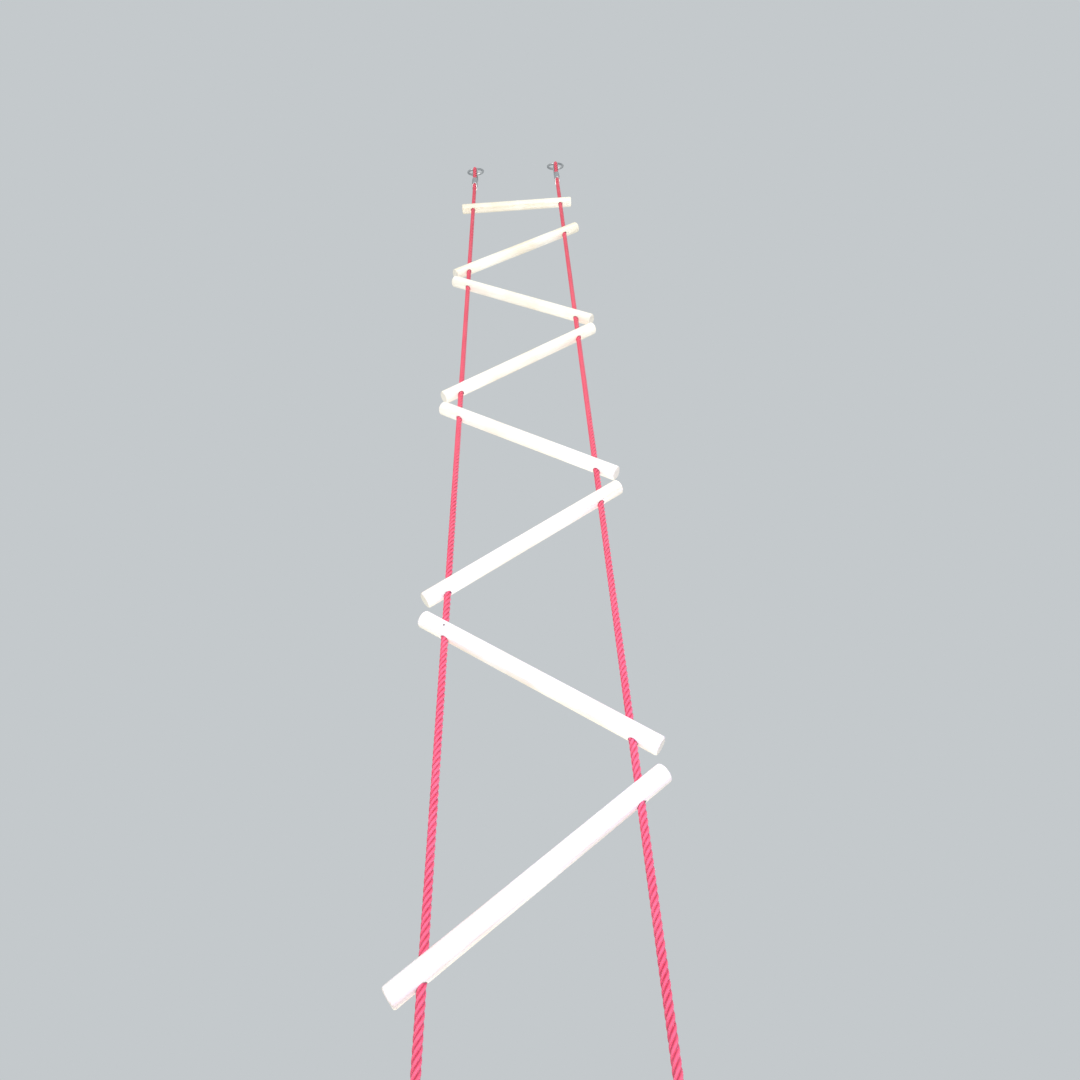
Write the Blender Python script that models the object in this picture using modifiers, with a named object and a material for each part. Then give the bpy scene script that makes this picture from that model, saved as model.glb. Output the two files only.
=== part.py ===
"""Zigzag rope ladder: nine round rungs on two laid ropes, hung from two steel rings.

Metres, +Z up. The origin lies midway between the inner tops of the two rings, where hooks hold the ladder.
The ladder hangs straight down in the XZ plane, and its front faces -Y.
"""

from math import cos, pi, radians, sin, sqrt, tan

import bmesh
import bpy
from mathutils import Matrix, Vector

# Rungs
ROPE_SPACING = 0.380
RUNG_DIAMETER = 0.040
RUNG_TILT = radians(36)
DIAGONALS = 7
LEVEL_OVERHANG = 0.0475  # from the rope's middle to the end of a level rung
DIAGONAL_OVERHANG = 0.065  # the same along a sloping rung
APEX_GAP = 0.020  # between the ends of two sloping rungs, measured upright
LEVEL_GAP = 0.227  # between a level rung and the near end of the sloping one
RUNG_CHAMFER = 0.002

# Ropes
ROPE_DIAMETER = 0.016
HOLE_CLEARANCE = 0.001
TOP_ROPE_LENGTH = 0.175  # from its bend under the ferrule to its bend over the first rung
BOTTOM_ROPE_LENGTH = 0.110  # straight stretch under the last rung
SWAY_LIMIT = radians(20)
EASE_LENGTH = 0.050  # over which a rope shifts aside, to run beside its own end
DEAD_END = 0.006  # what shows of the rope's end past the ferrule

# Fixing nails
NAIL_DIAMETER = 0.0025
NAIL_PAST_MIDDLE = 0.005
NAIL_HEAD_DIAMETER = 0.0055
NAIL_HEAD_THICKNESS = 0.0012
NAILED_FROM_FRONT = {(7, "left")}  # the rung and side; all the other nails go in from the back

# Rings, thimbles, eyes and ferrules
RING_INNER_RADIUS = 0.030
RING_WIRE_DIAMETER = 0.010
THIMBLE_INNER_RADIUS = 0.018
THIMBLE_WALL = 0.002
THIMBLE_WRAP = radians(150)  # how far the groove reaches round the rope
THIMBLE_POINT_GAP = 0.004  # between the thimble's two ends
EYE_LEG = 0.075  # from the ferrule to the middle of the eye's round end
EYE_TURN_IN = radians(25)  # how far past its widest the eye stays round
FERRULE_LENGTH = 0.065
FERRULE_WALL = 0.0035

# Gaps
FIT_GAP = 0.0003  # between pieces that touch
BORE_GAP = 0.0004  # round a nail, and between a rope and its groove or ferrule

# Facets
RUNG_SIDES = 24
ROPE_SIDES = 12
HOLE_SIDES = 20
NAIL_SIDES = 12
EYE_STEPS = 6
EASE_STEPS = 5
RING_SIDES = 28
WIRE_SIDES = 8
CUTTER_TURN = radians(5)  # keeps a cutter's corners off the edges of what it cuts

rope_radius = ROPE_DIAMETER / 2
rung_radius = RUNG_DIAMETER / 2
wire_radius = RING_WIRE_DIAMETER / 2
nail_radius = NAIL_DIAMETER / 2
groove_radius = rope_radius + BORE_GAP
eye_radius = THIMBLE_INNER_RADIUS + THIMBLE_WALL + groove_radius
leg_offset = rope_radius + FIT_GAP / 2
# Half the space that a bend needs between a rope's flat ends
bend_gap = rope_radius * tan(SWAY_LIMIT / 2) + FIT_GAP

level_length = ROPE_SPACING + 2 * LEVEL_OVERHANG
diagonal_length = ROPE_SPACING / cos(RUNG_TILT) + 2 * DIAGONAL_OVERHANG
diagonal_height = diagonal_length * sin(RUNG_TILT) + RUNG_DIAMETER * cos(RUNG_TILT)
diagonal_pitch = diagonal_height + APEX_GAP
level_pitch = rung_radius + LEVEL_GAP + diagonal_height / 2

ring_z = -RING_INNER_RADIUS
swing_z = ring_z - RING_INNER_RADIUS - wire_radius
crown_z = swing_z + wire_radius + FIT_GAP + THIMBLE_WALL + groove_radius
ferrule_top_z = crown_z - eye_radius - EYE_LEG
upper_bend_z = ferrule_top_z - FERRULE_LENGTH - EASE_LENGTH
lower_bend_z = upper_bend_z - TOP_ROPE_LENGTH
first_rung_z = lower_bend_z - bend_gap - rung_radius

SIDES = {"left": -ROPE_SPACING / 2, "right": ROPE_SPACING / 2}


class Rung:
    """A rung's number from the top, the height of its middle, its rise towards +X and its length."""

    def __init__(self, number, z, tilt, length):
        self.name = f"rung_{number}"
        self.number = number
        self.centre = Vector((0, 0, z))
        self.tilt = tilt
        self.length = length

    def frame(self):
        """The frame at the rung's middle whose Z axis runs along it."""
        return Matrix.Translation(self.centre) @ Matrix.Rotation(pi / 2 - self.tilt, 4, "Y")

    def hole(self, x):
        """The middle of the upright hole for the rope at x."""
        return Vector((x, 0, self.centre.z + x * tan(self.tilt)))


def rung_places():
    z = first_rung_z
    places = [Rung(1, z, 0, level_length)]
    z -= level_pitch
    for i in range(DIAGONALS):
        tilt = RUNG_TILT if i % 2 == 0 else -RUNG_TILT
        places.append(Rung(i + 2, z, tilt, diagonal_length))
        z -= diagonal_pitch if i < DIAGONALS - 1 else level_pitch
    places.append(Rung(DIAGONALS + 2, z, 0, level_length))
    return places


def new_collection(name):
    collection = bpy.data.collections.new(name)
    bpy.context.scene.collection.children.link(collection)
    return collection


def new_material(name, colour, roughness, metallic=0.0):
    material = bpy.data.materials.new(name)
    material.use_nodes = True
    shader = material.node_tree.nodes["Principled BSDF"]
    shader.inputs["Base Color"].default_value = (*colour, 1.0)
    shader.inputs["Roughness"].default_value = roughness
    shader.inputs["Metallic"].default_value = metallic
    return material


def finish(obj, material):
    """Puts a piece in the ladder's collection with its material, and shades round faces smooth."""
    if obj.name not in ladder.objects:
        for holder in list(obj.users_collection):
            holder.objects.unlink(obj)
        ladder.objects.link(obj)
    obj.data.materials.clear()
    obj.data.materials.append(material)
    if obj.type == "MESH":
        obj.data.shade_smooth()
        obj.data.set_sharp_from_angle(angle=radians(35))
    return obj


def turned(name, profile, sides, matrix):
    """A turned piece. Its profile lists (radius, height) from the top of its axis round to the bottom."""
    mesh = bpy.data.meshes.new(name)
    shape = bmesh.new()
    corners = [shape.verts.new((radius, 0, height)) for radius, height in profile]
    for upper, lower in zip(corners, corners[1:]):
        shape.edges.new((upper, lower))
    shape.to_mesh(mesh)
    shape.free()
    obj = bpy.data.objects.new(name, mesh)
    obj.matrix_world = matrix
    screw = obj.modifiers.new("turn", "SCREW")
    screw.steps = sides
    screw.render_steps = sides
    screw.use_merge_vertices = True
    screw.merge_threshold = 0.00001
    ladder.objects.link(obj)
    return obj


def cutter(name, radius, length, sides, matrix):
    """A cylinder along the Z axis of matrix, centred on its origin, which only cuts other pieces."""
    mesh = bpy.data.meshes.new(name)
    shape = bmesh.new()
    bmesh.ops.create_cone(
        shape, cap_ends=True, segments=sides, radius1=radius, radius2=radius, depth=length
    )
    shape.to_mesh(mesh)
    shape.free()
    obj = bpy.data.objects.new(name, mesh)
    obj.matrix_world = matrix @ Matrix.Rotation(CUTTER_TURN, 4, "Z")
    obj.hide_render = True
    obj.display_type = "WIRE"
    cutters.objects.link(obj)
    return obj


def cut(obj, tool):
    modifier = obj.modifiers.new(tool.name, "BOOLEAN")
    modifier.operation = "DIFFERENCE"
    modifier.solver = "EXACT"
    modifier.object = tool


def curve_object(name, splines, dimensions="3D"):
    """A curve object with a POLY spline for each (points, closed) in splines."""
    curve = bpy.data.curves.new(name, "CURVE")
    curve.dimensions = dimensions
    for points, closed in splines:
        spline = curve.splines.new("POLY")
        spline.points.add(len(points) - 1)
        for spot, place in zip(spline.points, points):
            spot.co = (*place, 1.0)
        spline.use_cyclic_u = closed
    obj = bpy.data.objects.new(name, curve)
    ladder.objects.link(obj)
    return obj


def as_mesh(obj):
    """Turns a curve object into a mesh object of the same name, with its caps welded on."""
    bpy.context.view_layer.update()
    made = bpy.data.meshes.new_from_object(obj.evaluated_get(bpy.context.evaluated_depsgraph_get()))
    shape = bmesh.new()
    shape.from_mesh(made)
    bmesh.ops.remove_doubles(shape, verts=shape.verts, dist=0.000001)
    shape.to_mesh(made)
    shape.free()
    name = obj.name
    matrix = obj.matrix_world.copy()
    bpy.data.objects.remove(obj, do_unlink=True)
    meshed = bpy.data.objects.new(name, made)
    meshed.matrix_world = matrix
    ladder.objects.link(meshed)
    return meshed


def rope_along(name, points):
    """A stretch of rope through points, as a mesh that can be cut."""
    obj = curve_object(name, [(points, False)])
    obj.data.bevel_depth = rope_radius
    obj.data.bevel_resolution = ROPE_SIDES // 2 - 2
    obj.data.use_fill_caps = True
    return finish(as_mesh(obj), rope)


def make_rung(place):
    """A turned rung with chamfered ends."""
    end = place.length / 2
    upper = [(0, end), (rung_radius - RUNG_CHAMFER, end), (rung_radius, end - RUNG_CHAMFER)]
    lower = [(radius, -height) for radius, height in reversed(upper)]
    profile = [*upper, *lower]
    rung = turned(place.name, profile, RUNG_SIDES, place.frame())
    return finish(rung, wood)


def nail_frame(place, side, x):
    """The frame of a nail through the rope's middle, whose Z axis runs from head to point."""
    from_front = (place.number, side) in NAILED_FROM_FRONT
    return Matrix.Translation(place.hole(x)) @ Matrix.Rotation(-pi / 2 if from_front else pi / 2, 4, "X")


def make_nail(name, frame):
    """A flat-headed nail through the rung and the middle of the rope."""
    front = rung_radius + FIT_GAP
    head_radius = NAIL_HEAD_DIAMETER / 2
    profile = [
        (0, NAIL_PAST_MIDDLE),
        (nail_radius, NAIL_PAST_MIDDLE),
        (nail_radius, -front),
        (head_radius, -front),
        (head_radius, -front - NAIL_HEAD_THICKNESS),
        (0, -front - NAIL_HEAD_THICKNESS),
    ]
    return finish(turned(name, profile, NAIL_SIDES, frame), nail_steel)


def nail_bore(name, frame):
    """The cutter for a nail's bore, from outside the rung to just past the nail's point."""
    length = rung_radius + NAIL_HEAD_THICKNESS + NAIL_PAST_MIDDLE + BORE_GAP
    middle = NAIL_PAST_MIDDLE + BORE_GAP - length / 2
    place = frame @ Matrix.Translation((0, 0, middle))
    return cutter(name, nail_radius + BORE_GAP, length, NAIL_SIDES, place)


def eye_leg():
    """One leg of an eye, up to where its round end starts, as (aside, up) from the ferrule's end."""
    start = Vector((leg_offset, 0))
    end = Vector((eye_radius * cos(EYE_TURN_IN), EYE_LEG - eye_radius * sin(EYE_TURN_IN)))
    pull = 0.35 * (end - start).length
    start_pull = start + Vector((0, pull))
    end_pull = end - pull * Vector((sin(EYE_TURN_IN), cos(EYE_TURN_IN)))
    leg = []
    for i in range(EYE_STEPS):
        t = i / EYE_STEPS
        s = 1 - t
        near = s**3 * start + 3 * s * s * t * start_pull
        leg.append(near + 3 * s * t * t * end_pull + t**3 * end)
    return leg


def eye_loop():
    """The middle line of a rope's eye, from the ferrule round and back to it, as (aside, up)."""
    leg = eye_leg()
    sweep = pi + 2 * EYE_TURN_IN
    count = 2 * EYE_STEPS
    crown = []
    for i in range(count + 1):
        angle = -EYE_TURN_IN + sweep * i / count
        crown.append(Vector((eye_radius * cos(angle), EYE_LEG + eye_radius * sin(angle))))
    back = [Vector((-spot.x, spot.y)) for spot in reversed(leg)]
    return [*leg, *crown, *back]


def eye_route():
    """The middle line of a rope's looped end, as (aside, up) from the ferrule's end: in through the
    ferrule, round the eye and back to the dead end."""
    ease = []
    for i in range(EASE_STEPS + 1):
        t = i / EASE_STEPS
        aside = leg_offset * t * t * (3 - 2 * t)
        ease.append(Vector((aside, -FERRULE_LENGTH - EASE_LENGTH * (1 - t))))
    dead_end = Vector((-leg_offset, -FERRULE_LENGTH - DEAD_END))
    return [*ease, *eye_loop(), dead_end]


def make_thimble(name, x, z):
    """A rolled steel thimble inside the eye whose ferrule ends at height z."""
    least = groove_radius + THIMBLE_WALL + THIMBLE_POINT_GAP / 2
    path = [spot for spot in eye_loop() if abs(spot.x) > least or spot.y > EYE_LEG]
    thimble = curve_object(name, [([(*spot, 0) for spot in path], False)], "2D")
    steps = 6
    angles = [THIMBLE_WRAP * (i / steps - 0.5) for i in range(steps + 1)]
    outer = groove_radius + THIMBLE_WALL
    groove = [(-groove_radius * cos(a), groove_radius * sin(a), 0) for a in reversed(angles)]
    back = [(-outer * cos(a), outer * sin(a), 0) for a in angles]
    section = curve_object("section_" + name, [([*groove, *back], True)], "2D")
    ladder.objects.unlink(section)
    cutters.objects.link(section)
    section.hide_render = True
    thimble.data.bevel_mode = "OBJECT"
    thimble.data.bevel_object = section
    thimble.data.use_fill_caps = True
    upright = Matrix.Rotation(pi / 2, 4, "Z") @ Matrix.Rotation(pi / 2, 4, "X")
    thimble.matrix_world = Matrix.Translation((x, 0, z)) @ upright
    return finish(as_mesh(thimble), galvanised)


def stadium(half_width, radius, steps=6):
    """An upright oblong outline, half_width from its middle to its round ends' middles, along X."""
    outline = []
    for side in (1, -1):
        for i in range(steps + 1):
            angle = -pi / 2 + pi * i / steps
            outline.append((side * (half_width + radius * cos(angle)), side * radius * sin(angle), 0))
    return outline


def make_ferrule(name, x, middle_z):
    """A pressed sleeve that holds the rope and its own end side by side."""
    bore = stadium(leg_offset, rope_radius + BORE_GAP)
    wall = stadium(leg_offset, rope_radius + BORE_GAP + FERRULE_WALL)
    ferrule = curve_object(name, [(wall, True), (bore, True)], "2D")
    ferrule.data.fill_mode = "BOTH"
    ferrule.data.extrude = FERRULE_LENGTH / 2
    ferrule.matrix_world = Matrix.Translation((x, 0, middle_z)) @ Matrix.Rotation(pi / 2, 4, "Z")
    return finish(as_mesh(ferrule), aluminium)


def make_ring(name, x):
    bpy.ops.mesh.primitive_torus_add(
        major_segments=RING_SIDES,
        minor_segments=WIRE_SIDES,
        major_radius=RING_INNER_RADIUS + wire_radius,
        minor_radius=wire_radius,
        location=(x, 0, ring_z),
        rotation=(pi / 2, 0, 0),
    )
    ring = bpy.context.object
    ring.name = name
    return finish(ring, galvanised)


def below(place, x, radius):
    """The height at which the middle of the rope at x leaves a cylinder of this radius round the rung."""
    return place.hole(x).z - radius / cos(place.tilt)


def drill_for_rope(place, side, x):
    length = 2 * RUNG_DIAMETER / cos(place.tilt)
    hole = cutter(
        f"hole_{side}_{place.number}",
        rope_radius + HOLE_CLEARANCE,
        length,
        HOLE_SIDES,
        Matrix.Translation(place.hole(x)),
    )
    cut(bodies[place.name], hole)


def end_in_hole(place, x):
    """The height of a rope's flat end inside the rung, with its whole rim short of the underside."""
    reach = sqrt(rung_radius**2 - rope_radius**2) - rope_radius * sin(abs(place.tilt))
    return below(place, x, reach - FIT_GAP)


def make_bay_rope(upper, lower, side, x):
    """The rope from under one rung through the next, shaped at its top to turn round the upper rung."""
    top = (x, 0, upper.hole(x).z)
    bottom = (x, 0, end_in_hole(lower, x))
    piece = rope_along(f"rope_{side}_bay_{upper.number}", [top, bottom])
    cut(piece, sleeves[upper.name])
    return piece


def make_top_end(side, x):
    make_ring(f"ring_{side}", x)
    route = [(x, -spot.x, ferrule_top_z + spot.y) for spot in eye_route()]
    route[0] = (x, 0, upper_bend_z + bend_gap)
    rope_along(f"top_eye_{side}", route)
    make_thimble(f"thimble_{side}", x, ferrule_top_z)
    make_ferrule(f"top_ferrule_{side}", x, ferrule_top_z - FERRULE_LENGTH / 2)
    rope_along(
        f"top_rope_{side}", [(x, 0, upper_bend_z - bend_gap), (x, 0, lower_bend_z + bend_gap)]
    )
    first = rungs[0]
    return rope_along(
        f"rope_{side}_in_rung_1", [(x, 0, lower_bend_z - bend_gap), (x, 0, end_in_hole(first, x))]
    )


def make_bottom_end(side, x):
    last = rungs[-1]
    ferrule_z = below(last, x, rung_radius) - BOTTOM_ROPE_LENGTH - EASE_LENGTH - FERRULE_LENGTH
    route = [(x, -spot.x, ferrule_z - spot.y) for spot in eye_route()]
    piece = rope_along(f"bottom_eye_{side}", [(x, 0, last.hole(x).z), *route])
    cut(piece, sleeves[last.name])
    make_ferrule(f"bottom_ferrule_{side}", x, ferrule_z + FERRULE_LENGTH / 2)


def fix_with_nail(place, side, x, held_rope):
    frame = nail_frame(place, side, x)
    bore = nail_bore(f"bore_{side}_{place.number}", frame)
    cut(bodies[place.name], bore)
    cut(held_rope, bore)
    make_nail(f"nail_{side}_{place.number}", frame)


for old in list(bpy.data.objects):
    bpy.data.objects.remove(old, do_unlink=True)
ladder = new_collection("zigzag_rope_ladder")
cutters = new_collection("cutters")
wood = new_material("turned_pale_wood", (0.87, 0.80, 0.66), 0.5)
rope = new_material("red_laid_rope", (0.75, 0.06, 0.08), 0.7)
galvanised = new_material("galvanised_steel", (0.62, 0.63, 0.64), 0.45, 1.0)
aluminium = new_material("pressed_aluminium", (0.77, 0.77, 0.78), 0.35, 1.0)
nail_steel = new_material("dark_nail_steel", (0.20, 0.18, 0.17), 0.5, 1.0)

rungs = rung_places()
bodies = {place.name: make_rung(place) for place in rungs}
sleeves = {
    place.name: cutter(
        "round_" + place.name, rung_radius + FIT_GAP, place.length, RUNG_SIDES, place.frame()
    )
    for place in rungs
}

for side, x in SIDES.items():
    held_rope = make_top_end(side, x)
    drill_for_rope(rungs[0], side, x)
    fix_with_nail(rungs[0], side, x, held_rope)
    for upper, lower in zip(rungs, rungs[1:]):
        held_rope = make_bay_rope(upper, lower, side, x)
        drill_for_rope(lower, side, x)
        fix_with_nail(lower, side, x, held_rope)
    make_bottom_end(side, x)
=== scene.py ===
"""Looks of the zigzag rope ladder: its rungs, ropes, nails, ferrules, thimbles and rings."""

from itertools import pairwise
from math import atan2, cos, pi, radians, sin, sqrt, tan

import bpy
import numpy as np
from mathutils import Matrix, Vector


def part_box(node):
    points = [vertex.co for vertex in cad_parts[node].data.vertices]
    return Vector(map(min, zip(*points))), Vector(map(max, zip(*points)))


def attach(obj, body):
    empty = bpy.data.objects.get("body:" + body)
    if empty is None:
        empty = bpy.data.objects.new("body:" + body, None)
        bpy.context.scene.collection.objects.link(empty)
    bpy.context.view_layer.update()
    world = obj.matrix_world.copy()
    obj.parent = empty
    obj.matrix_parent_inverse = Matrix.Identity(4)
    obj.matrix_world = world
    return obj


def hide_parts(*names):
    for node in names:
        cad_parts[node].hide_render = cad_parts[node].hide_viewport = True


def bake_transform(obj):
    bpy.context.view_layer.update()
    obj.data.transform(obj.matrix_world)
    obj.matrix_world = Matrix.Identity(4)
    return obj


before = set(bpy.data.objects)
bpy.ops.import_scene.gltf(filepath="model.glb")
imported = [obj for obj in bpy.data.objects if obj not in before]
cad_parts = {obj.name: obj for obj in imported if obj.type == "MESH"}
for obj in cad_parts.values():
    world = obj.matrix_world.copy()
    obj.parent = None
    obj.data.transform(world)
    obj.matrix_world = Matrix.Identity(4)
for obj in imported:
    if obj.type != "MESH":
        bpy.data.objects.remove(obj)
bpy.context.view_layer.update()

# ---------------------------------------------------------------- sizes, in metres

HALF_SPACING = 0.190
SIDES = {"left": -HALF_SPACING, "right": HALF_SPACING}
RUNG_COUNT = 9
RUNG_RADIUS = 0.020
RUNG_TILT = radians(36)
LEVEL_LENGTH = 0.475
DIAGONAL_OVERHANG = 0.065
DIAGONAL_LENGTH = 2 * (HALF_SPACING / cos(RUNG_TILT) + DIAGONAL_OVERHANG)
END_ROUNDING = 0.005
END_INSET = 0.003
HOLE_RADIUS = 0.009
HOLE_RIM = 0.0006
DRILL_LENGTH = 0.12

ROPE_RADIUS = 0.008
LAY_LENGTH = 0.0576
STRANDS = 4
STRAND_RADIUS = 0.0043
STRAND_OFFSET = 0.0039
YARNS_PER_STRAND = 14
ROPE_STEP = 0.003
ROUTE_STEP = 0.0005
# The right rope parts just inside the first rung, narrowing over its last few millimetres.
PARTED_DEPTH = 0.005
PARTED_NECK = 0.006
STUB_DEPTH = 0.0005
# Where a melted end is drawn, from its tip, and the plain rope after it.
MELTED_TIP = np.array([0.0, 0.0004, 0.0010, 0.0018, 0.0028])
AFTER_TIP = 0.004

LEG_OFFSET = 0.00815
EYE_RADIUS = 0.0284
EYE_LEG = 0.075
EYE_TURN_IN = radians(25)
EASE_LENGTH = 0.050
DEAD_END = 0.006
FERRULE_LENGTH = 0.065
FERRULE_WALL = 0.0035
FERRULE_TOP_Z = -0.1527
UPPER_BEND_Z = FERRULE_TOP_Z - FERRULE_LENGTH - EASE_LENGTH
TOP_ROPE_LENGTH = 0.175
LOWER_BEND_Z = UPPER_BEND_Z - TOP_ROPE_LENGTH
BOTTOM_ROPE_LENGTH = 0.110

RING_RADIUS = 0.035
RING_WIRE_RADIUS = 0.005
RING_Z = -0.030
WELD_SWELL = 0.06
WELD_HALF_TURN = 0.09
WELD_DIRECTION = Vector((1, 0.25))
GROOVE_RADIUS = 0.0084
THIMBLE_WALL = 0.002
THIMBLE_WRAP = radians(150)
THIMBLE_POINT_GAP = 0.004

NAIL_RADIUS = 0.00125
NAIL_HEAD_RADIUS = 0.00275
NAIL_HEAD_THICKNESS = 0.0012
NAIL_REACH = 0.0253
NAIL_POINT = 0.004
# The other nails go in from behind, so that no head shows in front.
NAILED_FROM_FRONT = {(7, "left")}

DIE_BITES = 4
BITE_DEPTH = 0.00035
SEAM_HEIGHT = 0.0003


class Rung:
    """Where a rung lies, as its CAD node says, and which body it is part of."""

    def __init__(self, number):
        low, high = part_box(f"rung_{number}")
        self.number = number
        self.name = f"rung_{number}"
        self.centre = (low + high) / 2
        level = number in (1, RUNG_COUNT)
        self.tilt = 0 if level else RUNG_TILT * (1 if number % 2 == 0 else -1)
        self.length = LEVEL_LENGTH if level else DIAGONAL_LENGTH
        self.body = "level_rung_1" if number == 1 else f"bay_{number - 1}"

    def frame(self):
        """The frame at the rung's middle whose Z axis runs along it."""
        return Matrix.Translation(self.centre) @ Matrix.Rotation(pi / 2 - self.tilt, 4, "Y")

    def hole(self, x):
        """The middle of the hole for the rope at x."""
        return Vector((x, 0, self.centre.z + x * tan(self.tilt)))


rungs = [Rung(number) for number in range(1, RUNG_COUNT + 1)]
last_rung = rungs[-1]
bottom_ferrule_z = (
    last_rung.centre.z - RUNG_RADIUS - BOTTOM_ROPE_LENGTH - EASE_LENGTH - FERRULE_LENGTH
)


# ---------------------------------------------------------------- small helpers


def linear(colour):
    """An sRGB hex colour as linear red, green, blue and alpha."""
    parts = [int(colour[i : i + 2], 16) / 255 for i in (1, 3, 5)]
    parts = [p / 12.92 if p <= 0.04045 else ((p + 0.055) / 1.055) ** 2.4 for p in parts]
    return (*parts, 1.0)


def pick(*objects):
    """Selects these objects alone and makes the first one active."""
    bpy.ops.object.select_all(action="DESELECT")
    for obj in objects:
        obj.select_set(True)
    if objects:
        bpy.context.view_layer.objects.active = objects[0]


def named(name):
    """Names the object that an operator has just made."""
    obj = bpy.context.object
    obj.name = name
    obj.data.name = name
    return obj


def edit(obj, mode, chosen):
    """Opens obj in edit mode with only the chosen vertices, edges or faces selected.
    chosen takes an edge or vertex as its points, and a face as its (centre, normal)."""
    pick(obj)
    bpy.ops.object.mode_set(mode="EDIT")
    bpy.ops.mesh.select_mode(type=mode)
    bpy.ops.mesh.select_all(action="DESELECT")
    bpy.ops.object.mode_set(mode="OBJECT")
    mesh = obj.data
    if mode == "VERT":
        for vertex in mesh.vertices:
            vertex.select = chosen(vertex.co)
    elif mode == "EDGE":
        for line in mesh.edges:
            line.select = chosen(*[mesh.vertices[i].co for i in line.vertices])
    else:
        for face in mesh.polygons:
            face.select = chosen(face.center, face.normal)
    bpy.ops.object.mode_set(mode="EDIT")


def done():
    """Closes edit mode."""
    bpy.ops.object.mode_set(mode="OBJECT")


def settle(obj, matrix=None):
    """Moves obj by matrix and writes its place into its mesh."""
    if matrix is not None:
        obj.matrix_world = matrix @ obj.matrix_world
    pick(obj)
    bpy.ops.object.transform_apply(location=True, rotation=True, scale=True)
    return obj


def modify(obj, kind, **settings):
    """Adds a modifier with these settings and applies it."""
    pick(obj)
    bpy.ops.object.modifier_add(type=kind)
    modifier = obj.modifiers[-1]
    for key, value in settings.items():
        setattr(modifier, key, value)
    bpy.ops.object.modifier_apply(modifier=modifier.name)


def smooth(obj, degrees):
    """Shades obj smooth, apart from the edges sharper than this."""
    pick(obj)
    bpy.ops.object.shade_smooth_by_angle(angle=radians(degrees))


def wear(obj, material):
    """Gives obj its material."""
    obj.data.materials.clear()
    obj.data.materials.append(material)
    return obj


def discard(obj):
    """Deletes a pattern or a tool that has done its work."""
    pick(obj)
    bpy.ops.object.delete()


def duplicate(obj, name, matrix):
    """A copy of obj with its own mesh, moved by matrix."""
    twin = obj.copy()
    twin.data = obj.data.copy()
    twin.name = name
    twin.data.name = name
    bpy.context.scene.collection.objects.link(twin)
    return settle(twin, matrix)


# ---------------------------------------------------------------- camera, floor and light

FLOOR_Z = -4.35


def set_camera():
    """In front of the ladder near its foot, looking up along it."""
    bpy.ops.object.camera_add(
        location=(0.0564, -1.3292, -3.8462),
        rotation=(radians(134.834), radians(2.002), radians(3.134)),
    )
    camera = bpy.context.object
    camera.name = "camera"
    camera.data.sensor_width = 36
    camera.data.lens = 25.42
    camera.data.clip_end = 100
    bpy.context.scene.camera = camera


def area_light(name, location, target, size, power, colour, beam=180):
    """A round soft lamp aimed at target. beam is how wide its light opens, in degrees."""
    direction = Vector(target) - Vector(location)
    turn = direction.to_track_quat("-Z", "Y").to_euler()
    bpy.ops.object.light_add(type="AREA", location=location, rotation=turn)
    light = named(name)
    light.data.shape = "DISK"
    light.data.size = size
    light.data.energy = power
    light.data.spread = radians(beam)
    light.data.color = linear(colour)[:3]
    light.visible_camera = False


def set_stage():
    """A plain pale room: an even surround, a floor, two soft lamps in front, one behind for the light that
    the ground throws up, and a small one beside the camera. The two lowest lamps in front have narrow
    beams, which keeps most of their light off the floor beside them."""
    scene = bpy.context.scene
    scene.view_settings.view_transform = "Standard"
    world = bpy.data.worlds.new("surround")
    scene.world = world
    world.use_nodes = True
    surround = world.node_tree.nodes["Background"]
    surround.inputs["Color"].default_value = linear("#C4C9CC")
    surround.inputs["Strength"].default_value = 1.0
    area_light("broad_front", (1.6, -4.4, -0.6), (0, 0, -1.9), 2.6, 140, "#FFFEFA")
    area_light("low_front", (-0.7, -3.3, -4.0), (0, 0, -1.8), 1.6, 27, "#FFFEFB", beam=90)
    area_light("ground_bounce", (0, 2.6, -4.25), (0, 2.6, 0), 3.6, 130, "#FFFDF5")
    area_light("by_camera", (0.35, -1.6, -3.4), (0, 0, -3.1), 0.4, 11, "#BEB0FF", beam=110)
    bpy.ops.mesh.primitive_plane_add(size=60, location=(0, 0, FLOOR_Z))
    floor = named("floor")
    material, _, shader = new_material("pale_studio_floor", 0.85)
    shader.inputs["Base Color"].default_value = linear("#F0F0EE")
    floor.data.materials.append(material)


# ---------------------------------------------------------------- materials


def add(tree, kind, inputs=None, **settings):
    """Adds a node, sets its properties, and sets or links its inputs, given by name or number."""
    made = tree.nodes.new(kind)
    for key, value in settings.items():
        setattr(made, key, value)
    for key, value in (inputs or {}).items():
        if isinstance(value, bpy.types.NodeSocket):
            tree.links.new(value, made.inputs[key])
        else:
            made.inputs[key].default_value = value
    return made


def new_material(name, roughness, metallic=0.0):
    """A material with a Principled shader, as (material, its node tree, the shader)."""
    material = bpy.data.materials.new(name)
    material.use_nodes = True
    tree = material.node_tree
    shader = tree.nodes["Principled BSDF"]
    shader.inputs["Roughness"].default_value = roughness
    shader.inputs["Metallic"].default_value = metallic
    return material, tree, shader


def ramp(tree, factor, *stops):
    """A colour ramp through (position, hex colour) stops."""
    made = add(tree, "ShaderNodeValToRGB", {"Fac": factor})
    elements = made.color_ramp.elements
    while len(elements) < len(stops):
        elements.new(0.5)
    for element, (position, colour) in zip(elements, stops):
        element.position = position
        element.color = linear(colour)
    return made.outputs["Color"]


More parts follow.
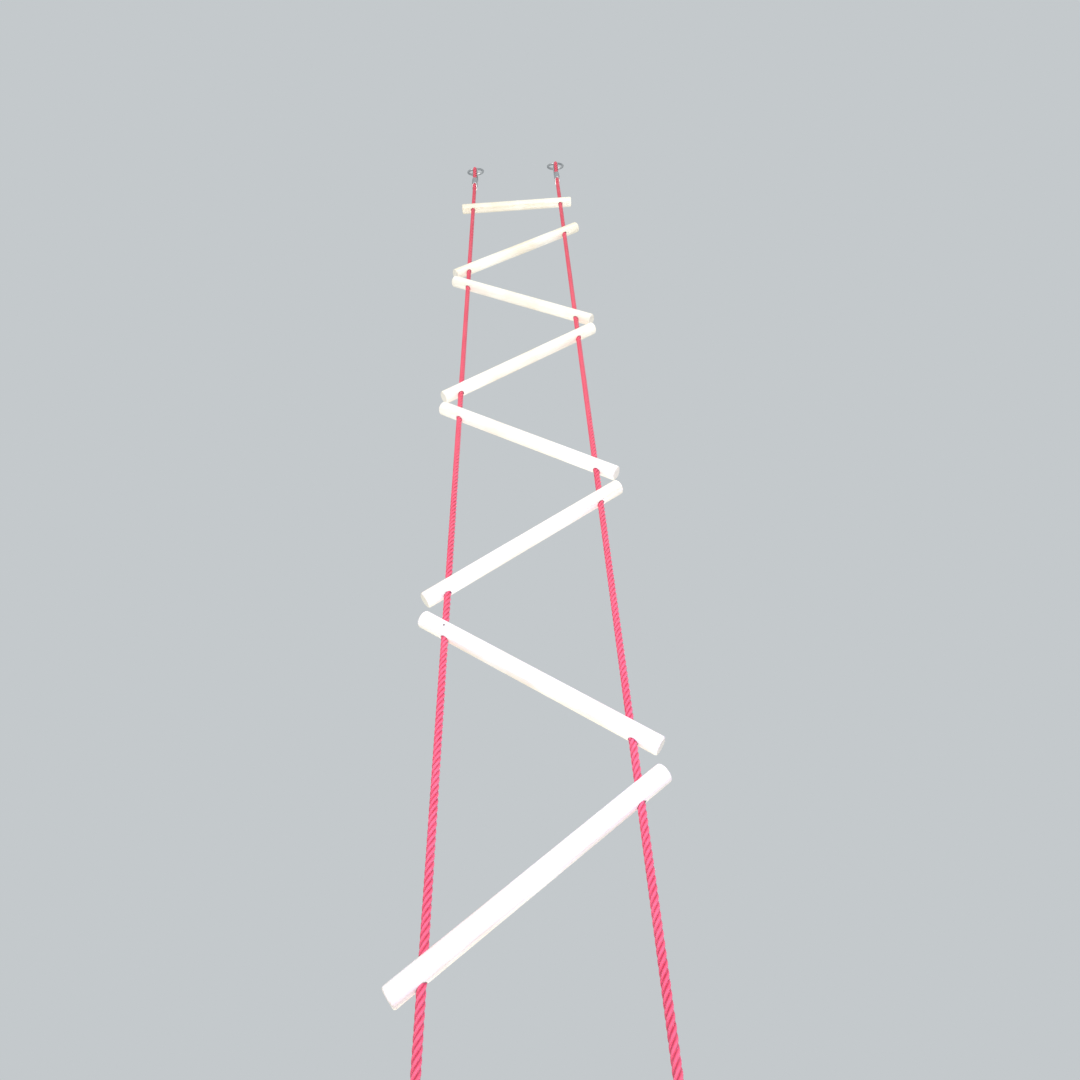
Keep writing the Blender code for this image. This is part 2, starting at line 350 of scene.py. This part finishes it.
def mixed(tree, factor, first, second, blend="MIX"):
    """Two colours mixed, or one multiplied by the other."""
    made = add(
        tree,
        "ShaderNodeMix",
        {0: factor, 6: first, 7: second},
        data_type="RGBA",
        blend_type=blend,
    )
    return made.outputs[2]


def grains(size):
    """The scale at which a pattern's grains are this many metres across."""
    return 1 / size


def sums(tree, operation, first, second):
    """Two numbers put together by one operation."""
    return add(tree, "ShaderNodeMath", {0: first, 1: second}, operation=operation).outputs[0]


def attribute(tree, name, output):
    """What the mesh itself says at each point."""
    return add(tree, "ShaderNodeAttribute", attribute_name=name).outputs[output]


def spread(tree, value, low, high, new_low, new_high):
    """A value from one range carried over to another."""
    return add(
        tree, "ShaderNodeMapRange", {0: value, 1: low, 2: high, 3: new_low, 4: new_high}
    ).outputs[0]


def turned_spruce():
    """Spruce, turned and sanded, left bare: pale and half matt, with faint growth rings drawn out into
    bands along the rung."""
    material, tree, shader = new_material("turned_spruce", 0.52)
    shader.inputs["IOR"].default_value = 1.5
    place = attribute(tree, "grain", "Vector")
    end = attribute(tree, "end_grain", "Fac")
    # Growth rings 3.2 mm apart, wandering slowly along the rung.
    ring_width = 0.0032
    drawn_out = add(tree, "ShaderNodeMapping", {"Vector": place, "Scale": (1, 1, 0.03)})
    rings = add(
        tree,
        "ShaderNodeTexWave",
        {
            "Vector": drawn_out.outputs[0],
            "Scale": 0.314 / ring_width,
            "Distortion": 2.4,
            "Detail": 2,
        },
        wave_type="RINGS",
        rings_direction="Z",
        wave_profile="SAW",
    ).outputs["Fac"]
    # Fibres 0.6 mm wide and some 40 mm long.
    along = add(tree, "ShaderNodeMapping", {"Vector": place, "Scale": (1, 1, 0.015)})
    fibres = add(
        tree,
        "ShaderNodeTexNoise",
        {"Vector": along.outputs[0], "Scale": grains(0.000606), "Detail": 3},
    ).outputs["Fac"]
    # Slow changes of tone, about 110 mm across.
    patches = add(
        tree, "ShaderNodeTexNoise", {"Vector": place, "Scale": grains(0.111), "Detail": 2}
    ).outputs["Fac"]
    banded = ramp(
        tree, rings, (0.0, "#F2F0E8"), (0.6, "#F0EDE2"), (0.93, "#E4DCC8"), (1.0, "#F1EEE5")
    )
    fibred = mixed(
        tree, 0.3, banded, ramp(tree, fibres, (0.3, "#E6E0D0"), (0.7, "#F8F7F2"))
    )
    toned = mixed(
        tree, 1.0, fibred, ramp(tree, patches, (0.3, "#F3EDE3"), (0.7, "#FFFFFF")), "MULTIPLY"
    )
    # End grain is a shade darker, and its growth rings stand out more.
    sawn = ramp(
        tree, rings, (0.0, "#EEEAE1"), (0.65, "#E6E0D3"), (0.94, "#CFC4AC"), (1.0, "#EAE4D8")
    )
    ended = mixed(tree, end, toned, sawn)
    tree.links.new(ended, shader.inputs["Base Color"])
    tree.links.new(spread(tree, fibres, 0.3, 0.7, 0.46, 0.6), shader.inputs["Roughness"])
    relief = sums(tree, "ADD", fibres, sums(tree, "MULTIPLY", rings, 0.4))
    bump = add(
        tree, "ShaderNodeBump", {"Height": relief, "Strength": 0.2, "Distance": 0.0002}
    )
    tree.links.new(bump.outputs[0], shader.inputs["Normal"])
    return material


def laid_polyester():
    """Red polyester yarn, laid into strands: soft matt, with each yarn a fine ridge along the rope, and
    painted shade in the grooves between strands and between yarns.
    """
    material, tree, shader = new_material("laid_polyester", 0.62)
    shader.inputs["Sheen Weight"].default_value = 0.35
    shader.inputs["Sheen Roughness"].default_value = 0.4
    shader.inputs["Sheen Tint"].default_value = linear("#FFC9D2")
    around = add(
        tree, "ShaderNodeSeparateXYZ", {0: add(tree, "ShaderNodeUVMap", uv_map="lay").outputs[0]}
    )
    # Yarns about 0.9 mm apart, fourteen to a strand. They are laid back against the strands' turn, and
    # so run almost in line with the rope.
    turns = sums(tree, "DIVIDE", around.outputs[1], LAY_LENGTH / 1.25)
    yarn_place = sums(tree, "ADD", around.outputs[0], turns)
    phase = sums(tree, "MULTIPLY", yarn_place, 2 * pi * STRANDS * YARNS_PER_STRAND)
    yarn = add(tree, "ShaderNodeMath", {0: phase}, operation="SINE").outputs[0]
    where = add(tree, "ShaderNodeTexCoord").outputs["Object"]
    # Loose filaments are some 0.03 mm thick. They are drawn as fuzz of 1.1 mm, so that it shows.
    fuzz = add(
        tree, "ShaderNodeTexNoise", {"Vector": where, "Scale": grains(0.00111), "Detail": 3}
    ).outputs["Fac"]
    # Stretches more and less faded by the sun, about 70 mm long.
    faded = add(
        tree, "ShaderNodeTexNoise", {"Vector": where, "Scale": grains(0.0714), "Detail": 2}
    ).outputs["Fac"]
    # Painted shade and highlight: the grooves between the strands are painted deep red as shade, and their
    # crowns pale as a highlight.
    depth = attribute(tree, "crown", "Fac")
    strand_shade_and_highlight = ramp(tree, depth, (0.0, "#7A0E26"), (0.5, "#CB3248"), (1.0, "#EA5E74"))
    toned = mixed(tree, 0.25, strand_shade_and_highlight, ramp(tree, faded, (0.3, "#CC3042"), (0.7, "#E66874")))
    # Painted shade between the yarns and a painted highlight on their tops, mixed in faintly.
    ridge = spread(tree, yarn, -1, 1, 0, 1)
    fine = mixed(tree, 0.15, toned, ramp(tree, ridge, (0.0, "#A81E38"), (1.0, "#E8647C")))
    tree.links.new(fine, shader.inputs["Base Color"])
    relief = sums(tree, "ADD", sums(tree, "MULTIPLY", yarn, 0.5), fuzz)
    bump = add(
        tree, "ShaderNodeBump", {"Height": relief, "Strength": 0.6, "Distance": 0.0003}
    )
    tree.links.new(bump.outputs[0], shader.inputs["Normal"])
    return material


def galvanised_steel():
    """Steel dipped in zinc: dull silver with soft cloudy crystals some 4 mm across."""
    material, tree, shader = new_material("hot_dipped_steel", 0.42, 1.0)
    where = add(tree, "ShaderNodeTexCoord").outputs["Object"]
    crystals = add(
        tree, "ShaderNodeTexVoronoi", {"Vector": where, "Scale": grains(0.004)}, feature="F1"
    ).outputs["Color"]
    shade = add(tree, "ShaderNodeSeparateColor", {0: crystals}).outputs[0]
    tree.links.new(
        ramp(tree, shade, (0.0, "#A6A9AB"), (1.0, "#C9CBCC")), shader.inputs["Base Color"]
    )
    tree.links.new(spread(tree, shade, 0, 1, 0.34, 0.52), shader.inputs["Roughness"])
    # The uneven skin of the zinc, 1.7 mm across.
    skin = add(
        tree, "ShaderNodeTexNoise", {"Vector": where, "Scale": grains(0.00167), "Detail": 2}
    ).outputs["Fac"]
    bump = add(tree, "ShaderNodeBump", {"Height": skin, "Strength": 0.25, "Distance": 0.0002})
    tree.links.new(bump.outputs[0], shader.inputs["Normal"])
    return material


def pressed_aluminium():
    """Aluminium squeezed in a die: bright grey, lightly scuffed along its length."""
    material, tree, shader = new_material("pressed_aluminium", 0.34, 1.0)
    where = add(tree, "ShaderNodeTexCoord").outputs["Object"]
    # Scuffs 1.1 mm wide and 14 mm long. Real ones are a tenth as wide, too fine to show.
    drawn = add(tree, "ShaderNodeMapping", {"Vector": where, "Scale": (1, 1, 0.08)})
    scuffs = add(
        tree,
        "ShaderNodeTexNoise",
        {"Vector": drawn.outputs[0], "Scale": grains(0.00111), "Detail": 3},
    ).outputs["Fac"]
    tree.links.new(
        ramp(tree, scuffs, (0.3, "#C2C4C6"), (0.7, "#D0D1D3")), shader.inputs["Base Color"]
    )
    tree.links.new(spread(tree, scuffs, 0.3, 0.7, 0.30, 0.42), shader.inputs["Roughness"])
    bump = add(tree, "ShaderNodeBump", {"Height": scuffs, "Strength": 0.12, "Distance": 0.0001})
    tree.links.new(bump.outputs[0], shader.inputs["Normal"])
    return material


def weathered_nail():
    """Drawn steel wire nail, dulled by the weather: dark grey with brown flecks."""
    material, tree, shader = new_material("weathered_nail_steel", 0.55, 1.0)
    where = add(tree, "ShaderNodeTexCoord").outputs["Object"]
    # Flecks of rust 0.8 mm across.
    rust = add(
        tree, "ShaderNodeTexNoise", {"Vector": where, "Scale": grains(0.000833), "Detail": 3}
    ).outputs["Fac"]
    tree.links.new(
        ramp(tree, rust, (0.35, "#8E8C89"), (0.65, "#A2958A")), shader.inputs["Base Color"]
    )
    return material


# ---------------------------------------------------------------- ropes


def eye_middle_line():
    """The middle of a rope's looped end, as (aside, up) from the ferrule's end: the straight rope easing
    over and in through the ferrule, then the loop from the ferrule round the eye and back."""
    ease = []
    for t in np.linspace(0, 1, 26):
        ease.append((LEG_OFFSET * t * t * (3 - 2 * t), -FERRULE_LENGTH - EASE_LENGTH * (1 - t)))
    start = Vector((LEG_OFFSET, 0))
    end = Vector((EYE_RADIUS * cos(EYE_TURN_IN), EYE_LEG - EYE_RADIUS * sin(EYE_TURN_IN)))
    pull = 0.35 * (end - start).length
    start_pull = start + Vector((0, pull))
    end_pull = end - pull * Vector((sin(EYE_TURN_IN), cos(EYE_TURN_IN)))
    leg = []
    for t in np.linspace(0, 1, 26)[:-1]:
        s = 1 - t
        near = s**3 * start + 3 * s * s * t * start_pull
        leg.append(tuple(near + 3 * s * t * t * end_pull + t**3 * end))
    crown = []
    for angle in np.linspace(-EYE_TURN_IN, pi + EYE_TURN_IN, 60):
        crown.append((EYE_RADIUS * cos(angle), EYE_LEG + EYE_RADIUS * sin(angle)))
    back = [(-aside, up) for aside, up in reversed(leg)]
    return ease, [*leg, *crown, *back]


class Route:
    """The middle line of one whole rope, in the plane x = its side, from the cut end of the top eye down to
    the cut end of the bottom one."""

    def __init__(self, x):
        self.x = x
        ease, loop = eye_middle_line()
        eye = [*ease, *loop, (-LEG_OFFSET, -FERRULE_LENGTH - DEAD_END)]
        top = [(-aside, FERRULE_TOP_Z + up) for aside, up in reversed(eye)]
        bottom = [(-aside, bottom_ferrule_z - up) for aside, up in eye]
        line = np.array([*top, *bottom])
        steps = np.hypot(*np.diff(line, axis=0).T)
        line = line[np.concatenate([[True], steps > 1e-7])]
        travelled = np.concatenate([[0], np.cumsum(np.hypot(*np.diff(line, axis=0).T))])
        count = int(travelled[-1] / ROUTE_STEP)
        self.travel = np.linspace(0, travelled[-1], count)
        self.y = np.interp(self.travel, travelled, line[:, 0])
        self.z = np.interp(self.travel, travelled, line[:, 1])
        self.length = travelled[-1]
        self.straight_start = travelled[len(top) - 1]
        self.straight_z = top[-1][1]

    def at_height(self, z):
        """How far along the rope its straight part passes height z."""
        return self.straight_start + self.straight_z - z

    def points(self, travel):
        """Where the rope is at these distances along it, and which way it runs there: y, z, dy, dz."""
        y = np.interp(travel, self.travel, self.y)
        z = np.interp(travel, self.travel, self.z)
        ahead = np.minimum(travel + 0.001, self.length)
        behind = np.maximum(travel - 0.001, 0)
        dy = np.interp(ahead, self.travel, self.y) - np.interp(behind, self.travel, self.y)
        dz = np.interp(ahead, self.travel, self.z) - np.interp(behind, self.travel, self.z)
        size = np.hypot(dy, dz)
        return y, z, dy / size, dz / size


def strand_outline():
    """The outline of the strands, pressed into one another, as points across the rope and how far out each
    lies, 0 to 1."""
    half_turn = pi / STRANDS
    valley = STRAND_OFFSET * cos(half_turn)
    valley += sqrt(STRAND_RADIUS**2 - (STRAND_OFFSET * sin(half_turn)) ** 2)
    reach = atan2(valley * sin(half_turn), valley * cos(half_turn) - STRAND_OFFSET)
    points = []
    for strand in range(STRANDS):
        turn = 2 * half_turn * strand
        for angle in np.linspace(-reach, reach, 15)[:-1]:
            points.append(
                (
                    STRAND_OFFSET * cos(turn) + STRAND_RADIUS * cos(turn + angle),
                    STRAND_OFFSET * sin(turn) + STRAND_RADIUS * sin(turn + angle),
                )
            )
    points = np.array(points)
    out = np.hypot(points[:, 0], points[:, 1])
    return points, (out - out.min()) / (out.max() - out.min())


outline, outline_crown = strand_outline()


def melted_end(travel, sealed):
    """The distances along a stretch whose yarns are melted together at its start or end, and how thick it
    is at each of them."""
    start, end = travel[0], travel[-1]
    if sealed == "start":
        travel = np.concatenate([start + MELTED_TIP, travel[travel > start + AFTER_TIP]])
        from_tip = travel - start
    else:
        travel = np.concatenate([travel[travel < end - AFTER_TIP], (end - MELTED_TIP)[::-1]])
        from_tip = end - travel
    rounding = np.sqrt(1 - (1 - np.clip(from_tip / MELTED_TIP[-1], 0, 1)) ** 2)
    return travel, 0.72 + 0.28 * rounding


def rope_skin(name, spots, travel):
    """The skin over a rope's rings of points, closed at each end round one point more. Its UV map, lay,
    runs round the rope and along it, and its attribute, crown, says how far out on a strand a point is."""
    count = len(travel)
    sides = len(outline)
    first = np.arange(count - 1)[:, None] * sides
    here = np.arange(sides)[None, :]
    onward = (here + 1) % sides
    quads = np.stack(
        [first + here, first + onward, first + sides + onward, first + sides + here], axis=2
    ).reshape(-1, 4)
    near, far = len(spots) - 2, len(spots) - 1
    last = (count - 1) * sides
    caps = [(near, (i + 1) % sides, i) for i in range(sides)]
    caps += [(far, last + i, last + (i + 1) % sides) for i in range(sides)]
    mesh = bpy.data.meshes.new(name)
    mesh.from_pydata(spots.tolist(), [], [*quads.tolist(), *caps])
    lay = mesh.uv_layers.new(name="lay")
    u = np.tile(here.ravel() / sides, count - 1)
    v0 = np.repeat(travel[:-1], sides)
    v1 = np.repeat(travel[1:], sides)
    quad_uv = np.stack([u, v0, u + 1 / sides, v0, u + 1 / sides, v1, u, v1], axis=1).reshape(-1)
    near_uv = []
    far_uv = []
    for i in range(sides):
        this, following = i / sides, (i + 1) / sides
        near_uv += [this, travel[0], following, travel[0], this, travel[0]]
        far_uv += [this, travel[-1], this, travel[-1], following, travel[-1]]
    lay.data.foreach_set("uv", np.concatenate([quad_uv, near_uv, far_uv]).astype(np.float32))
    # The rope's material paints shade into the grooves and a highlight on the crowns from this.
    crown = mesh.attributes.new("crown", "FLOAT", "POINT")
    crown_values = np.concatenate([np.tile(outline_crown, count), [0.3, 0.3]])
    crown.data.foreach_set("value", crown_values.astype(np.float32))
    return mesh


def laid_rope(name, route, start, end, sealed=None, neck=0):
    """A stretch of laid rope between two distances along its route. The strands run on from the stretch
    before. sealed is the end, start or end, whose yarns are melted together in a rounded tip. Over its last
    neck metres the stretch narrows, so that it can lean in the hole that it runs into."""
    travel = np.linspace(start, end, max(2, int((end - start) / ROPE_STEP) + 1))
    size = np.ones(len(travel))
    if sealed:
        travel, size = melted_end(travel, sealed)
    if neck:
        size = 1 - 0.3 * np.clip((travel - end + neck) / neck, 0, 1)
    y, z, ty, tz = route.points(travel)
    turn = 2 * pi * travel / LAY_LENGTH
    across = size[:, None] * (
        np.outer(np.cos(turn), outline[:, 0]) - np.outer(np.sin(turn), outline[:, 1])
    )
    beside = size[:, None] * (
        np.outer(np.sin(turn), outline[:, 0]) + np.outer(np.cos(turn), outline[:, 1])
    )
    # Beside the rope, in its plane: its direction crossed with +X is (0, tz, -ty).
    spots = np.stack(
        [
            route.x + across,
            y[:, None] + beside * tz[:, None],
            z[:, None] - beside * ty[:, None],
        ],
        axis=2,
    ).reshape(-1, 3)
    middles = [(route.x, y[0], z[0]), (route.x, y[-1], z[-1])]
    rope = bpy.data.objects.new(name, rope_skin(name, np.vstack([spots, middles]), travel))
    bpy.context.scene.collection.objects.link(rope)
    smooth(rope, 50)
    return wear(rope, polyester)


def rope_ladder_side(side, x):
    """All the stretches of one rope, from its top eye down through the rungs' holes to its bottom eye."""
    route = Route(x)
    mid_top = route.at_height((UPPER_BEND_Z + LOWER_BEND_Z) / 2)
    first = rungs[0]
    eye = laid_rope(f"rope_{side}_top_eye", route, 0, mid_top, sealed="start")
    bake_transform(eye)
    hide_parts(f"top_eye_{side}")
    if side == "left":
        lower = laid_rope(
            f"rope_{side}_over_rung_1", route, mid_top, route.at_height(first.centre.z)
        )
        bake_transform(lower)
        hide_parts("top_rope_left", "rope_left_in_rung_1")
    else:
        # No joint links this rope to the first rung, so it parts out of sight in the rung's hole.
        rung_top = first.centre.z + RUNG_RADIUS
        lower = laid_rope(
            f"rope_{side}_over_rung_1",
            route,
            mid_top,
            route.at_height(rung_top - PARTED_DEPTH),
            neck=PARTED_NECK,
        )
        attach(lower, "right_top_rope")
        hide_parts("top_rope_right")
        stub = laid_rope(
            f"rope_{side}_stub_in_rung_1",
            route,
            route.at_height(rung_top - STUB_DEPTH),
            route.at_height(first.centre.z),
        )
        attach(stub, "level_rung_1")
        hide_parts("rope_right_in_rung_1")
    for upper, lower in pairwise(rungs):
        hole = upper.hole(x)
        stretch = laid_rope(
            f"rope_{side}_under_rung_{upper.number}",
            route,
            route.at_height(hole.z),
            route.at_height(lower.hole(x).z),
        )
        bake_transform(stretch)
        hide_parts(f"rope_{side}_bay_{upper.number}")
    hole = last_rung.hole(x)
    tail = laid_rope(
        f"rope_{side}_bottom_eye", route, route.at_height(hole.z), route.length, sealed="end"
    )
    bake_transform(tail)
    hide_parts(f"bottom_eye_{side}")


# ---------------------------------------------------------------- rungs and nails


def turned_rung(rung):
    """A round rung with softly rounded ends and a hole drilled upright for each rope."""
    bpy.ops.mesh.primitive_cylinder_add(
        vertices=96,
        radius=RUNG_RADIUS,
        depth=rung.length,
        end_fill_type="NGON",
        location=rung.centre,
        rotation=(0, pi / 2 - rung.tilt, 0),
    )
    bar = named(f"{rung.name}_turned")
    end = rung.length / 2
    edit(bar, "EDGE", lambda a, b: abs(a.z - b.z) < 1e-5)
    bpy.ops.mesh.bevel(offset=END_ROUNDING, segments=5, profile=0.5, affect="EDGES")
    done()
    # A flat ring inside each end keeps the end's shading level.
    edit(bar, "FACE", lambda centre, normal: abs(abs(centre.z) - end) < 1e-5)
    bpy.ops.mesh.inset(thickness=END_INSET)
    done()
    settle(bar)
    for side, x in SIDES.items():
        bpy.ops.object.select_all(action="DESELECT")
        bpy.ops.mesh.primitive_cylinder_add(
            vertices=64, radius=HOLE_RADIUS, depth=DRILL_LENGTH, location=rung.hole(x)
        )
        drill = named("drill")
        modify(bar, "BOOLEAN", operation="DIFFERENCE", solver="EXACT", object=drill)
        discard(drill)
    modify(
        bar,
        "BEVEL",
        width=HOLE_RIM,
        segments=2,
        limit_method="ANGLE",
        angle_limit=radians(40),
        use_clamp_overlap=False,
    )
    smooth(bar, 42)
    mark_grain(bar, rung, end)
    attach(wear(bar, spruce), rung.body)
    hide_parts(rung.name)


def mark_grain(bar, rung, end):
    """Writes each point's place in the log that its rung was cut from, and marks the end grain. The log's
    pith runs 50 mm beside the rung's middle, and each rung comes from another length of the log."""
    inverse = rung.frame().inverted()
    angle = np.random.default_rng(40 + rung.number).uniform(0, 2 * pi)
    pith = Vector((0.05 * cos(angle), 0.05 * sin(angle), rung.number * 1.7))
    spots = [inverse @ vertex.co for vertex in bar.data.vertices]
    grain = bar.data.attributes.new("grain", "FLOAT_VECTOR", "POINT")
    grain.data.foreach_set("vector", [n for spot in spots for n in spot + pith])
    end_grain = bar.data.attributes.new("end_grain", "FLOAT", "POINT")
    end_grain.data.foreach_set("value", [float(abs(spot.z) > end - 0.0004) for spot in spots])


def wire_nail():
    """A nail standing on its point, with the origin where it crosses the middle of its rope."""
    top = RUNG_RADIUS + 0.0003
    bpy.ops.object.select_all(action="DESELECT")
    bpy.ops.mesh.primitive_cylinder_add(
        vertices=24,
        radius=NAIL_HEAD_RADIUS,
        depth=NAIL_HEAD_THICKNESS,
        end_fill_type="NGON",
        location=(0, 0, top + NAIL_HEAD_THICKNESS / 2),
    )
    nail = settle(named("nail"))
    edit(nail, "EDGE", lambda a, b: abs(a.z - b.z) < 1e-6 and a.z > top + NAIL_HEAD_THICKNESS / 2)
    bpy.ops.mesh.bevel(offset=0.0004, segments=3, affect="EDGES")
    done()
    edit(nail, "FACE", lambda centre, normal: normal.z < -0.9)
    bpy.ops.mesh.inset(thickness=NAIL_HEAD_RADIUS - NAIL_RADIUS)
    for length in (NAIL_REACH - NAIL_POINT, NAIL_POINT):
        bpy.ops.mesh.extrude_region_move(TRANSFORM_OT_translate={"value": (0, 0, -length)})
    bpy.ops.transform.resize(value=(0.1, 0.1, 1.0))
    done()
    smooth(nail, 35)
    return nail


def drive_nails():
    """A nail through each rung and rope where they cross."""
    pattern = wire_nail()
    for rung in rungs:
        for side, x in SIDES.items():
            from_front = (rung.number, side) in NAILED_FROM_FRONT
            turn = Matrix.Rotation(pi / 2 if from_front else -pi / 2, 4, "X")
            nail = duplicate(
                pattern,
                f"wire_nail_{side}_{rung.number}",
                Matrix.Translation(rung.hole(x)) @ turn,
            )
            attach(wear(nail, nail_steel), rung.body)
            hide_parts(f"nail_{side}_{rung.number}")
    discard(pattern)


# ---------------------------------------------------------------- rings, thimbles and ferrules


def welded_ring(side, x):
    """A ring of round bar, its weld a low collar at the side."""
    bpy.ops.object.select_all(action="DESELECT")
    bpy.ops.mesh.primitive_torus_add(
        major_segments=120,
        minor_segments=28,
        major_radius=RING_RADIUS,
        minor_radius=RING_WIRE_RADIUS,
    )
    ring = named(f"welded_ring_{side}")
    for vertex in ring.data.vertices:
        turn = Vector(vertex.co.xy).angle_signed(WELD_DIRECTION)
        middle = Vector((vertex.co.x, vertex.co.y, 0)).normalized() * RING_RADIUS
        swell = 1 + WELD_SWELL * max(0.0, 1 - (turn / WELD_HALF_TURN) ** 2)
        vertex.co = middle + (vertex.co - middle) * swell
    settle(ring, Matrix.Translation((x, 0, RING_Z)) @ Matrix.Rotation(pi / 2, 4, "X"))
    smooth(ring, 60)
    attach(wear(ring, galvanised), "rings")
    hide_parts(f"ring_{side}")


def rolled_thimble(side, x):
    """A strip of steel rolled to a groove and bent round the inside of the eye, its two ends almost
    meeting."""
    _, loop = eye_middle_line()
    outer = GROOVE_RADIUS + THIMBLE_WALL
    least = outer + THIMBLE_POINT_GAP / 2
    path = [spot for spot in loop if abs(spot[0]) > least or spot[1] > EYE_LEG]
    profile = flat_curve("thimble_section", groove_section(outer), closed=True)
    thimble = flat_curve(f"rolled_thimble_{side}", path, closed=False)
    thimble.data.bevel_mode = "OBJECT"
    thimble.data.bevel_object = profile
    thimble.data.use_fill_caps = True
    pick(thimble)
    bpy.ops.object.convert(target="MESH")
    edit(thimble, "VERT", lambda spot: True)
    bpy.ops.mesh.remove_doubles(threshold=0.000001)
    bpy.ops.mesh.normals_make_consistent(inside=False)
    done()
    upright = Matrix.Rotation(pi / 2, 4, "Z") @ Matrix.Rotation(pi / 2, 4, "X")
    settle(thimble, Matrix.Translation((x, 0, FERRULE_TOP_Z)) @ upright)
    smooth(thimble, 40)
    discard(profile)
    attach(wear(thimble, galvanised), f"hanger_{side}")
    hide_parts(f"thimble_{side}")


def groove_section(outer):
    """The outline across the rolled strip: the groove that the rope lies in, a rounded lip, the outside
    and the other lip."""
    angles = np.linspace(-THIMBLE_WRAP / 2, THIMBLE_WRAP / 2, 19)
    lip = 0.5 * THIMBLE_WALL
    section = [(-GROOVE_RADIUS * cos(a), GROOVE_RADIUS * sin(a)) for a in angles]
    for end_angle, way in ((angles[-1], 1), (angles[0], -1)):
        inward = Vector((cos(end_angle), -sin(end_angle)))
        onward = Vector((sin(end_angle), cos(end_angle))) * way
        middle = -(GROOVE_RADIUS + lip) * inward
        rounding = []
        for t in np.linspace(0, pi, 7)[1:-1]:
            rounding.append(tuple(middle + lip * (inward * cos(t) + onward * sin(t))))
        if way == 1:
            section += rounding
            section += [(-outer * cos(a), outer * sin(a)) for a in angles[::-1]]
        else:
            section += rounding[::-1]
    return section


def flat_curve(name, points, closed):
    """A curve of straight steps through these points in the plane z = 0."""
    curve = bpy.data.curves.new(name, "CURVE")
    curve.dimensions = "2D"
    curve.fill_mode = "NONE"
    spline = curve.splines.new("POLY")
    spline.points.add(len(points) - 1)
    for spot, (a, b) in zip(spline.points, points):
        spot.co = (a, b, 0, 1)
    spline.use_cyclic_u = closed
    obj = bpy.data.objects.new(name, curve)
    bpy.context.scene.collection.objects.link(obj)
    return obj


def pressed_ferrule():
    """An oval sleeve squeezed onto two ropes side by side, along Y: rounded ends, the die's two thin seams
    and the low swellings between its bites."""
    radius = ROPE_RADIUS + 0.0004 + FERRULE_WALL
    bore = ROPE_RADIUS + 0.0001
    half = FERRULE_LENGTH / 2
    bitten = half - 0.003
    bpy.ops.object.select_all(action="DESELECT")
    bpy.ops.mesh.primitive_cylinder_add(
        vertices=72, radius=radius, depth=FERRULE_LENGTH, end_fill_type="NGON"
    )
    sleeve = named("ferrule")
    # The round bar becomes an oval: each half moves out by the rope's offset.
    for way in (1, -1):
        edit(sleeve, "VERT", lambda spot: spot.y * way > 1e-5)
        bpy.ops.transform.translate(value=(0, way * LEG_OFFSET, 0))
        done()
    edit(sleeve, "FACE", lambda centre, normal: abs(normal.z) > 0.9)
    bpy.ops.mesh.inset(thickness=radius - bore)
    done()
    edit(sleeve, "FACE", lambda centre, normal: abs(normal.z) > 0.9 and centre.xy.length < 0.002)
    bpy.ops.mesh.delete(type="FACE")
    bpy.ops.mesh.select_mode(type="EDGE")
    bpy.ops.mesh.select_non_manifold()
    bpy.ops.mesh.bridge_edge_loops()
    bpy.ops.mesh.normals_make_consistent(inside=False)
    done()
    edit(
        sleeve,
        "EDGE",
        lambda a, b: abs(abs(a.z) - half) < 1e-5
        and abs(abs(b.z) - half) < 1e-5
        and on_oval(a, radius)
        and on_oval(b, radius),
    )
    bpy.ops.mesh.bevel(offset=0.0024, segments=5, affect="EDGES")
    done()
    # Cuts across the sleeve, for the swellings to follow.
    for z in np.linspace(-half + 0.004, half - 0.004, 25):
        edit(sleeve, "FACE", lambda centre, normal: True)
        bpy.ops.mesh.bisect(plane_co=(0, 0, z), plane_no=(0, 0, 1))
        done()
    for vertex in sleeve.data.vertices:
        if on_oval(vertex.co, radius, 0.0002) and abs(vertex.co.z) < bitten:
            middle = Vector((0, max(-LEG_OFFSET, min(LEG_OFFSET, vertex.co.y)), vertex.co.z))
            out = (vertex.co - middle).normalized()
            bite = 0.5 - 0.5 * cos(2 * pi * DIE_BITES * (vertex.co.z + half) / FERRULE_LENGTH)
            on_seam = abs(vertex.co.x) < 0.0007 and abs(vertex.co.y) > LEG_OFFSET
            seam = SEAM_HEIGHT if on_seam else 0
            vertex.co = vertex.co - out * (BITE_DEPTH * bite) + out * seam
    smooth(sleeve, 38)
    return sleeve


def on_oval(spot, radius, within=0.00005):
    """Whether a point lies on the sleeve's outside."""
    beyond = max(0.0, abs(spot.y) - LEG_OFFSET)
    return abs(sqrt(spot.x**2 + beyond**2) - radius) < within


def fit_ferrules():
    """A ferrule at the neck of each of the four eyes."""
    pattern = pressed_ferrule()
    half = FERRULE_LENGTH / 2
    for side, x in SIDES.items():
        for where, z, body in (
            ("top", FERRULE_TOP_Z - half, f"hanger_{side}"),
            ("bottom", bottom_ferrule_z + half, f"{side}_bottom_eye"),
        ):
            sleeve = duplicate(
                pattern, f"pressed_ferrule_{where}_{side}", Matrix.Translation((x, 0, z))
            )
            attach(wear(sleeve, aluminium), body)
            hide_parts(f"{where}_ferrule_{side}")
    discard(pattern)


# ---------------------------------------------------------------- the ladder

set_camera()
set_stage()
spruce = turned_spruce()
polyester = laid_polyester()
galvanised = galvanised_steel()
aluminium = pressed_aluminium()
nail_steel = weathered_nail()

for side, x in SIDES.items():
    rope_ladder_side(side, x)
for rung in rungs:
    turned_rung(rung)
drive_nails()
for side, x in SIDES.items():
    welded_ring(side, x)
    rolled_thimble(side, x)
fit_ferrules()
